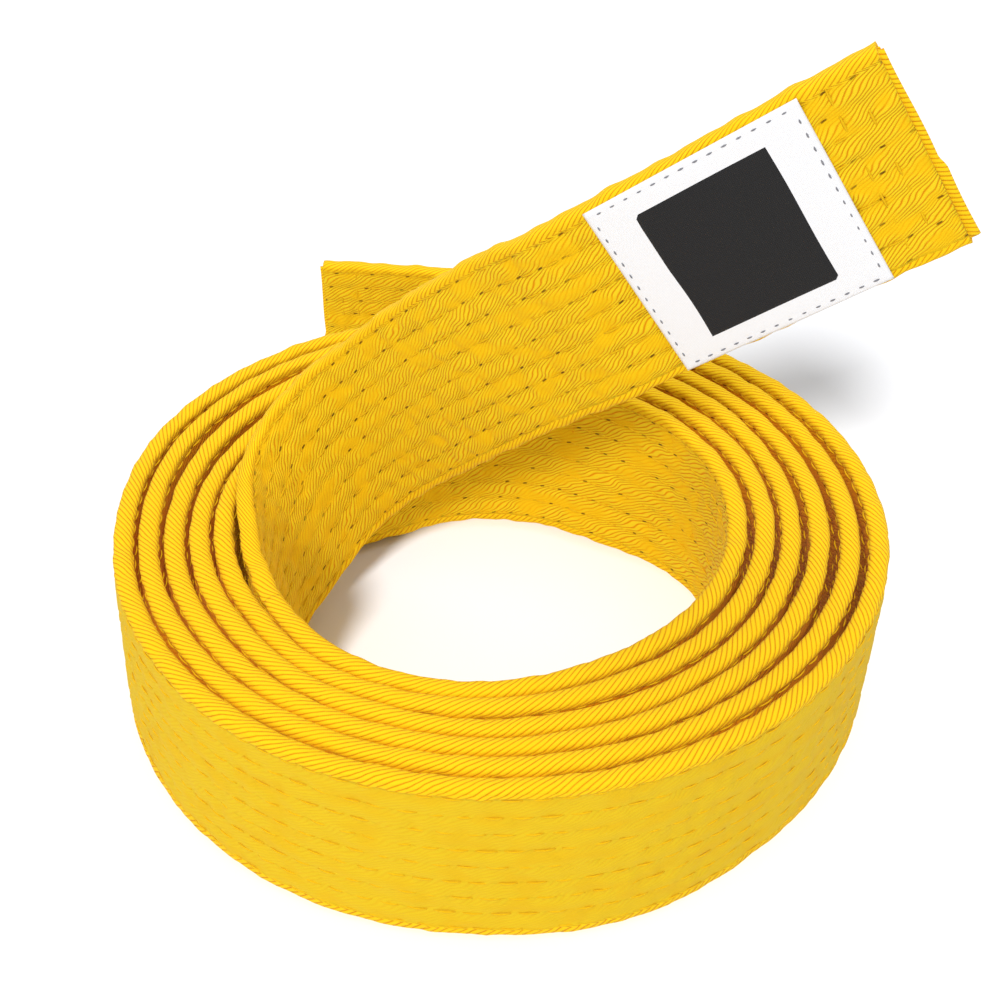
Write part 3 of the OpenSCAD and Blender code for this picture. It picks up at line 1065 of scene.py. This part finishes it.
# %% One stitch of thread
def thread_mesh(name, length, width, rise, sides=5, rings=5):
    """A short thread along X that dives at both ends. It is closed and has few faces."""
    points, faces = [], []
    for i in range(rings):
        t = i / (rings - 1)
        x = (t - 0.5) * length
        lift = rise * math.sin(math.pi * t) - rise
        radius = width / 2 * (0.45 + 0.55 * math.sin(math.pi * t))
        for j in range(sides):
            a = 2 * math.pi * j / sides
            points.append((x, radius * math.cos(a), lift + 0.75 * radius * math.sin(a)))
    for i in range(rings - 1):
        for j in range(sides):
            a, b = i * sides + j, i * sides + (j + 1) % sides
            faces.append((a, b, b + sides, a + sides))
    faces.append(tuple(range(sides))[::-1])
    faces.append(tuple(range((rings - 1) * sides, rings * sides)))
    mesh = bpy.data.meshes.new(name)
    mesh.from_pydata(points, [], faces)
    mesh.flip_normals()
    mesh.polygons.foreach_set("use_smooth", np.ones(len(faces), bool))
    obj = bpy.data.objects.new(name, mesh)
    bpy.context.scene.collection.objects.link(obj)
    helpers.append(obj)
    return obj


quilting_stitch = thread_mesh("quilting_stitch", 3.9 * MM, 0.5 * MM, 0.3 * MM)
print("a stitch has", len(quilting_stitch.data.polygons), "faces")

# %% The stitching tree
stitching, given, made = new_tree(
    "Stitches along a row",
    [
        ("Path", "NodeSocketGeometry", None),
        ("Thread", "NodeSocketObject", None),
        ("Count", "NodeSocketInt", 10),
        ("First at", "NodeSocketFloat", 0.0),
        ("Stitch length", "NodeSocketFloat", STITCH),
        ("Row height", "NodeSocketFloat", 0.0),
        ("Stand off", "NodeSocketFloat", HALF_T),
        ("Unevenness", "NodeSocketFloat", 0.08),
        ("Seed", "NodeSocketInt", 1),
        ("Finish", "NodeSocketMaterial", None),
    ],
    "Row",
)


def added(tree, first, second):
    node = add_node(tree, "ShaderNodeVectorMath", operation="ADD")
    tree.links.new(first, node.inputs[0])
    tree.links.new(second, node.inputs[1])
    return node.outputs["Vector"]


def scaled(tree, vector, factor):
    node = add_node(tree, "ShaderNodeVectorMath", operation="SCALE")
    tree.links.new(vector, node.inputs[0])
    tree.links.new(factor, node.inputs["Scale"])
    return node.outputs["Vector"]


index = add_node(stitching, "GeometryNodeInputIndex")
place = add_node(stitching, "ShaderNodeMath", operation="MULTIPLY_ADD")
stitching.links.new(index.outputs[0], place.inputs[0])
stitching.links.new(given.outputs["Stitch length"], place.inputs[1])
stitching.links.new(given.outputs["First at"], place.inputs[2])
rail = add_node(stitching, "GeometryNodeMeshToCurve", {"Mesh": given.outputs["Path"]})
sampled = {}
for key in ("up", "out"):
    way = add_node(stitching, "GeometryNodeInputNamedAttribute", {"Name": key}, data_type="FLOAT_VECTOR")
    node = add_node(stitching, "GeometryNodeSampleCurve", data_type="FLOAT_VECTOR", mode="LENGTH")
    node.use_all_curves = True
    stitching.links.new(rail.outputs[0], node.inputs["Curves"])
    stitching.links.new(way.outputs["Attribute"], node.inputs["Value"])
    stitching.links.new(place.outputs[0], node.inputs["Length"])
    sampled[key] = node
raised_by = scaled(stitching, sampled["up"].outputs["Value"], given.outputs["Row height"])
facing = scaled(stitching, sampled["out"].outputs["Value"], given.outputs["Stand off"])
spot = added(stitching, added(stitching, sampled["up"].outputs["Position"], raised_by), facing)
dots = add_node(stitching, "GeometryNodePoints", {"Count": given.outputs["Count"], "Position": spot})
lengthwise = add_node(
    stitching,
    "FunctionNodeAlignRotationToVector",
    {"Vector": sampled["up"].outputs["Tangent"]},
    axis="X",
)
outwards = add_node(
    stitching,
    "FunctionNodeAlignRotationToVector",
    {"Rotation": lengthwise.outputs[0], "Vector": facing},
    axis="Z",
    pivot_axis="X",
)
thread = add_node(stitching, "GeometryNodeObjectInfo", {"Object": given.outputs["Thread"]})
uneven = add_node(
    stitching, "FunctionNodeRandomValue", {"Seed": given.outputs["Seed"]}, data_type="FLOAT_VECTOR"
)
less = add_node(stitching, "ShaderNodeMath", operation="SUBTRACT")
less.inputs[0].default_value = 1
stitching.links.new(given.outputs["Unevenness"], less.inputs[1])
more = add_node(stitching, "ShaderNodeMath", operation="ADD")
more.inputs[0].default_value = 1
stitching.links.new(given.outputs["Unevenness"], more.inputs[1])
stitching.links.new(less.outputs[0], uneven.inputs["Min"])
stitching.links.new(more.outputs[0], uneven.inputs["Max"])
stitches = add_node(
    stitching,
    "GeometryNodeInstanceOnPoints",
    {
        "Points": dots.outputs[0],
        "Instance": thread.outputs["Geometry"],
        "Rotation": outwards.outputs[0],
        "Scale": uneven.outputs["Value"],
    },
)
real = add_node(stitching, "GeometryNodeRealizeInstances", {"Geometry": stitches.outputs[0]})
row_finish = add_node(
    stitching,
    "GeometryNodeSetMaterial",
    {"Geometry": real.outputs[0], "Material": given.outputs["Finish"]},
)
stitching.links.new(row_finish.outputs[0], made.inputs[0])
print("stitching tree has", len(stitching.nodes), "nodes")


# %% Sewing the rows
def joined(meshes):
    """Several meshes as one, without the objects that carried them."""
    points, faces, start = [], [], 0
    for mesh in meshes:
        co = points_of(mesh)
        points.append(co)
        faces += [tuple(start + v for v in p.vertices) for p in mesh.polygons]
        start += len(co)
    result = bpy.data.meshes.new("joined")
    result.from_pydata(np.vstack(points).tolist(), [], faces)
    result.polygons.foreach_set("use_smooth", np.ones(len(faces), bool))
    return result


ROW_END_GAP = 11 * MM
THREAD_SINK = 0.06 * MM
paths = {s: path_object(f"path_{s}", frames_at(s, FINE[s])) for s in FINE}
path_lengths = {s: measured(frames_at(s, FINE[s])["middle"])[-1] for s in FINE}
for stretch in FINE:
    low = ROW_END_GAP if stretch == "label_end" else 0
    high = LENGTHS[stretch] - (ROW_END_GAP if stretch == "outer_end" else 0)
    for k in range(1, ROWS + 1):
        phase = ((k - 1) * STAGGER + 0.5) * STITCH
        first = math.ceil((FIRST_AT[stretch] + low - phase) / STITCH) * STITCH + phase - FIRST_AT[stretch]
        count = int((high - first) // STITCH) + 1
        shrink = path_lengths[stretch] / LENGTHS[stretch]
        meshes = [
            run_tree(
                stitching,
                paths[stretch],
                thread=quilting_stitch,
                count=count,
                first_at=float(first * shrink),
                stitch_length=float(STITCH * shrink),
                row_height=float(row_heights[k - 1]),
                stand_off=float(side * (HALF_T - GROOVE_DEPTH + THREAD_SINK)),
                seed=10 * k + side,
                finish=quilting_thread,
            )
            for side in (1, -1)
        ]
        row = joined(meshes)
        piece(f"quilting_{k}_{stretch}", row, quilting_thread, f"stitch_row_{k}_{stretch}")
    print(stretch, "row of", 2 * count, "stitches,", len(row.polygons), "faces")

# %% [markdown]
# ## The hems
#
# At each end the cover's raw edge is turned in between the plies and the cover, and sewn across
# twice. From the end it shows as two rounded lips, one from each face of the belt, of slightly
# different length. Each lip is a rounded strip of twill laid across the belt.


# %% Hem folds and their cross rows
HEM_L = 6 * MM
HEM_T = 1.35 * MM
HEM_HALF = 18.9 * MM
HEM_GAP = 0.08 * MM
LIPS = (0.5 * MM, 1.1 * MM)
HEM_ROWS = (5 * MM, 9.5 * MM)
HEM_ROW_HALF = 18.4 * MM
HEM_STITCHES = 7
HEM_STITCH = 5.1 * MM
HEM_FIRST_AT = (2.6 * MM, 3.8 * MM)
HEM_THREAD_SINK = 0.12 * MM
LIP_WAVE = 0.15 * MM
LIP_STEP = 0.7 * MM


def end_frame(stretch):
    """The belt's own end: where it is, the way out of it, up, and out of its outer face."""
    f = full[stretch]
    i, way = (0, -1) if stretch == "label_end" else (-1, 1)
    return f["middle"][i], way * f["along"][i], f["up"][i], f["out"][i]


def lip_mesh(stretch, number):
    """One lip of the hem: a rounded strip across the belt's end."""
    middle, beyond, up, out = end_frame(stretch)
    side = 1 if number == 0 else -1
    n_mid = side * (HEM_GAP + HEM_T / 2)
    across = np.linspace(-HEM_HALF, HEM_HALF, 60)
    reach = LIPS[number] + LIP_WAVE * np.sin(across / (4.3 * MM) + number)
    if number == 1:
        reach = reach + LIP_STEP * smooth_rise(-across, 2 * MM, 5 * MM)
    turn = np.linspace(-math.pi / 2, math.pi / 2, 9)
    outline = [(-HEM_L, -HEM_T / 2)] + [(None, a) for a in turn] + [(-HEM_L, HEM_T / 2)]
    points = []
    for w, far in zip(across, reach):
        end_round = 1 - 0.5 * smooth_rise(abs(w), HEM_HALF - 1.2 * MM, HEM_HALF)
        for x, n in outline:
            if x is None:
                x, n = far - HEM_T / 2 + HEM_T / 2 * math.cos(n), HEM_T / 2 * math.sin(n)
            points.append(middle + x * beyond + w * up + (n_mid + n * end_round) * out)
    count, rings = len(outline), len(across)
    faces = [
        (i * count + j, i * count + (j + 1) % count, (i + 1) * count + (j + 1) % count, (i + 1) * count + j)
        for i in range(rings - 1)
        for j in range(count)
    ]
    faces += [tuple(range(count))[::-1], tuple(range((rings - 1) * count, rings * count))]
    mesh = bpy.data.meshes.new("lip")
    mesh.from_pydata([tuple(p) for p in points], [], faces)
    return mesh


def outward(mesh):
    """Turns the faces of a closed mesh outwards."""
    work = bmesh.new()
    work.from_mesh(mesh)
    bmesh.ops.recalc_face_normals(work, faces=work.faces)
    work.to_mesh(mesh)
    work.free()
    return mesh


def hem_uv(mesh, stretch):
    """A UV map in metres that runs on from the cover's."""
    middle, beyond, up, out = end_frame(stretch)
    co = points_of(mesh) - middle
    vertex = np.zeros(len(mesh.loops), int)
    mesh.loops.foreach_get("vertex_index", vertex)
    flat = np.stack([co @ beyond + 0.7 * (co @ out), co @ up], axis=1)
    uv = mesh.uv_layers.new(name="UVMap")
    uv.data.foreach_set("uv", flat[vertex].astype(np.float32).ravel())


def straight_path(name, start, end, points, out, up):
    """A straight path for a row of stitches that faces the same way all along."""
    share = np.linspace(0, 1, points)[:, None]
    frames = {
        "middle": start + (end - start) * share,
        "at": np.arange(points),
        "out": np.tile(out, (points, 1)),
        "up": np.tile(up, (points, 1)),
    }
    return path_object(name, frames)


for stretch in ("label_end", "outer_end"):
    mesh = outward(joined([lip_mesh(stretch, 0), lip_mesh(stretch, 1)]))
    hem_uv(mesh, stretch)
    piece(f"turned_hem_{stretch}", mesh, cover_twill, f"hem_fold_{stretch}")

    middle, beyond, up, out = end_frame(stretch)
    meshes = []
    for n, back in enumerate(HEM_ROWS):
        for side in (1, -1):
            row_middle, half = middle - back * beyond, HEM_ROW_HALF * up
            path = straight_path("hem_path", row_middle - half, row_middle + half, 30, out, beyond)
            meshes.append(
                run_tree(
                    stitching,
                    path,
                    thread=quilting_stitch,
                    count=HEM_STITCHES,
                    first_at=HEM_FIRST_AT[n],
                    stitch_length=HEM_STITCH,
                    row_height=0.0,
                    stand_off=float(side * (HALF_T - HEM_THREAD_SINK)),
                    seed=90 + n,
                    finish=quilting_thread,
                )
            )
    hem_rows = joined(meshes)
    piece(f"hem_seam_{stretch}", hem_rows, quilting_thread, f"hem_stitching_{stretch}")
print("hem pieces made:", [n for n in pieces if n.startswith("hem")])

# %% [markdown]
# ## The label
#
# A woven label is a thin patch with its edges turned under. It is almost as wide as the belt and is
# sewn on all round, so it is a closed sheet with a rounded rim, pulled down a little at its
# stitches. The black panel is woven into it and stands out by a hair.

# %% Label, panel and label stitching
LABEL_L = 42 * MM
LABEL_INSET = 14 * MM
LABEL_HALF = 19.2 * MM
LABEL_N = 2.32 * MM
LABEL_T = 0.4 * MM
PANEL_L = 26 * MM
PANEL_W = 29 * MM
PANEL_T = 0.15 * MM
SEW_INSET = 1.2 * MM
SEW_PITCH = 2.8 * MM
PANEL_SINK = 0.08 * MM
LABEL_THREAD_SINK = 0.04 * MM
tip, beyond, tip_up, tip_out = end_frame("label_end")
label_middle = tip - (LABEL_INSET + LABEL_L / 2) * beyond


def label_swell(x, w):
    """How far the label's face stands above its flat, at a place on it."""
    rim = np.minimum(LABEL_L / 2 - np.abs(x), LABEL_HALF - np.abs(w))
    sewn = np.exp(-(((rim - SEW_INSET) / (0.6 * MM)) ** 2))
    pull = 0.5 + 0.5 * np.cos(2 * math.pi * (x + w) / SEW_PITCH)
    soft = 0.05 * MM * np.sin(x / (5.1 * MM) + 1) * np.sin(w / (4.4 * MM))
    return soft - sewn * (0.06 + 0.06 * pull) * MM


def patch(length, half_w, low, high, step, swell):
    """A closed thin sheet with a rounded rim, on the label's face of the belt."""
    nx, nw = round(length / step), round(2 * half_w / step)
    lengthwise, crosswise = np.linspace(-0.5, 0.5, nx + 1) * length, np.linspace(-1, 1, nw + 1) * half_w
    x, w = np.meshgrid(lengthwise, crosswise, indexing="ij")
    rim = np.minimum(length / 2 - np.abs(x), half_w - np.abs(w))
    thin = np.sqrt(np.clip(rim / ((high - low) * 1.2), 0, 1)) * 0.75 + 0.25
    levels = [low + (high - low) * thin + (label_swell(x, w) if swell else 0), np.full_like(x, low)]
    count = (nx + 1) * (nw + 1)
    points = [
        label_middle + x[..., None] * beyond + w[..., None] * tip_up - level[..., None] * tip_out
        for level in levels
    ]
    i, j = np.meshgrid(np.arange(nx), np.arange(nw), indexing="ij")
    a = i * (nw + 1) + j
    quad = np.stack([a, a + nw + 1, a + nw + 2, a + 1], axis=-1).reshape(-1, 4)
    border = [(i, 0) for i in range(nx)] + [(nx, j) for j in range(nw)]
    border += [(i, nw) for i in range(nx, 0, -1)] + [(0, j) for j in range(nw, 0, -1)]
    ring = np.array([i * (nw + 1) + j for i, j in border])
    after = np.roll(ring, -1)
    wall = np.stack([ring, after, after + count, ring + count], axis=1)
    mesh = bpy.data.meshes.new("patch")
    faces = np.vstack([quad, quad[:, ::-1] + count, wall])
    mesh.from_pydata(np.vstack([p.reshape(-1, 3) for p in points]).tolist(), [], faces.tolist())
    mesh.polygons.foreach_set("use_smooth", np.ones(len(faces), bool))
    outward(mesh)
    vertex = np.zeros(len(mesh.loops), int)
    mesh.loops.foreach_get("vertex_index", vertex)
    flat = np.tile(np.stack([x, w], axis=-1).reshape(-1, 2), (2, 1))[vertex]
    uv = mesh.uv_layers.new(name="UVMap")
    uv.data.foreach_set("uv", flat.astype(np.float32).ravel())
    return mesh


label_mesh = patch(LABEL_L, LABEL_HALF, LABEL_N, LABEL_N + LABEL_T, 0.6 * MM, True)
piece("satin_label", label_mesh, label_satin, "label")
top = LABEL_N + LABEL_T
panel_mesh = patch(PANEL_L, PANEL_W / 2, top - PANEL_SINK, top + PANEL_T, 0.8 * MM, False)
piece("woven_panel", panel_mesh, label_weave, "label_panel")

label_stitch = thread_mesh("label_stitch", 1.1 * MM, 0.36 * MM, 0.12 * MM)
meshes = []
long_half, wide_half = LABEL_L / 2 - SEW_INSET, LABEL_HALF - SEW_INSET
corners = [(-long_half, -wide_half), (long_half, -wide_half), (long_half, wide_half), (-long_half, wide_half)]
places = [label_middle + x * beyond + w * tip_up for x, w in corners]
for number, (start, end) in enumerate(zip(places, places[1:] + places[:1])):
    length = np.linalg.norm(end - start)
    side_way = unit(np.cross(end - start, tip_out))
    path = straight_path("label_path", start, end, 20, tip_out, side_way)
    count = int(length // SEW_PITCH)
    meshes.append(
        run_tree(
            stitching,
            path,
            thread=label_stitch,
            count=count,
            first_at=float((length - (count - 1) * SEW_PITCH) / 2),
            stitch_length=SEW_PITCH,
            row_height=0.0,
            stand_off=float(-(top - LABEL_THREAD_SINK)),
            seed=70 + number,
            finish=label_thread,
        )
    )
piece("label_seam", joined(meshes), label_thread, "label_stitching")
print("label", len(label_mesh.polygons), "faces")
print("its stitches", len(pieces["label_stitching"].data.polygons), "faces")

# %% [markdown]
# ## What each piece moves with
# The pieces of the coil ride with the coil, and the label and the hems ride with their end. The
# cover, plies and rows of the two ends only have their transforms baked in and ride with no body.
# The table below, of where each end would bend, is read but not used.

# %% Riding and baking
BLENDS = {
    # stretch: (where it leaves the coil, which way the bend spreads, how far on it starts, its length)
    "label_end": (coil_middle(np.array([ROOT_ANGLE], float))[0], (0.1, 0.9, 0.42), 9 * MM, 26 * MM),
    "outer_end": (coil_middle(np.array([END_ANGLE], float))[0], (-0.85, 0.5, 0.0), 0.5 * MM, 28 * MM),
}
for name, obj in pieces.items():
    stretch = next((s for s in FINE if name.endswith(s)), "label_end")
    if stretch == "coil":
        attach(obj, "coil")
    elif name.startswith(("cover", "ply", "stitch")):
        start, way, first, length = BLENDS[stretch]
        way = unit(np.array(way))
        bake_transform(obj)
    else:
        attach(obj, stretch)

for obj in helpers:
    bpy.data.objects.remove(obj)

raised = bpy.data.collections.new("raised_end")
for name, obj in pieces.items():
    if name.startswith("label") or name.endswith("label_end"):
        raised.objects.link(obj)
left_showing = sum(not node.hide_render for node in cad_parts.values())
print("pieces:", len(pieces), "CAD nodes left showing:", left_showing)

# %% [markdown]
# ## The floor
#
# A pale, matt floor, wide enough that its edge stays out of the camera's view. It isn't part of the
# belt. The two broad lamps light the belt and the sun lights the floor.

# %% Floor
FLOOR_HALF = 3.0
FLOOR_DROP = 0.2 * MM
floor_mesh = bpy.data.meshes.new("floor")
floor_mesh.from_pydata(
    [(x * FLOOR_HALF, y * FLOOR_HALF, -FLOOR_DROP) for x, y in ((-1, -1), (1, -1), (1, 1), (-1, 1))],
    [],
    [(0, 1, 2, 3)],
)
floor = bpy.data.objects.new("floor", floor_mesh)
bpy.context.scene.collection.objects.link(floor)
floor_finish = Finish("pale floor")
floor_mesh.materials.append(floor_finish.surface(linear(226, 227, 230), 0.9, specular=0.1))

only_floor = bpy.data.collections.new("only_floor")
only_floor.objects.link(floor)
only_belt = bpy.data.collections.new("only_belt")
for obj in pieces.values():
    only_belt.objects.link(obj)
for lamp_name, lit in (("floor_lamp", only_floor), ("key_lamp", only_belt), ("top_lamp", only_belt)):
    bpy.data.objects[lamp_name].light_linking.receiver_collection = lit
    bpy.data.objects[lamp_name].light_linking.blocker_collection = raised
print("floor", 2 * FLOOR_HALF, "m wide")
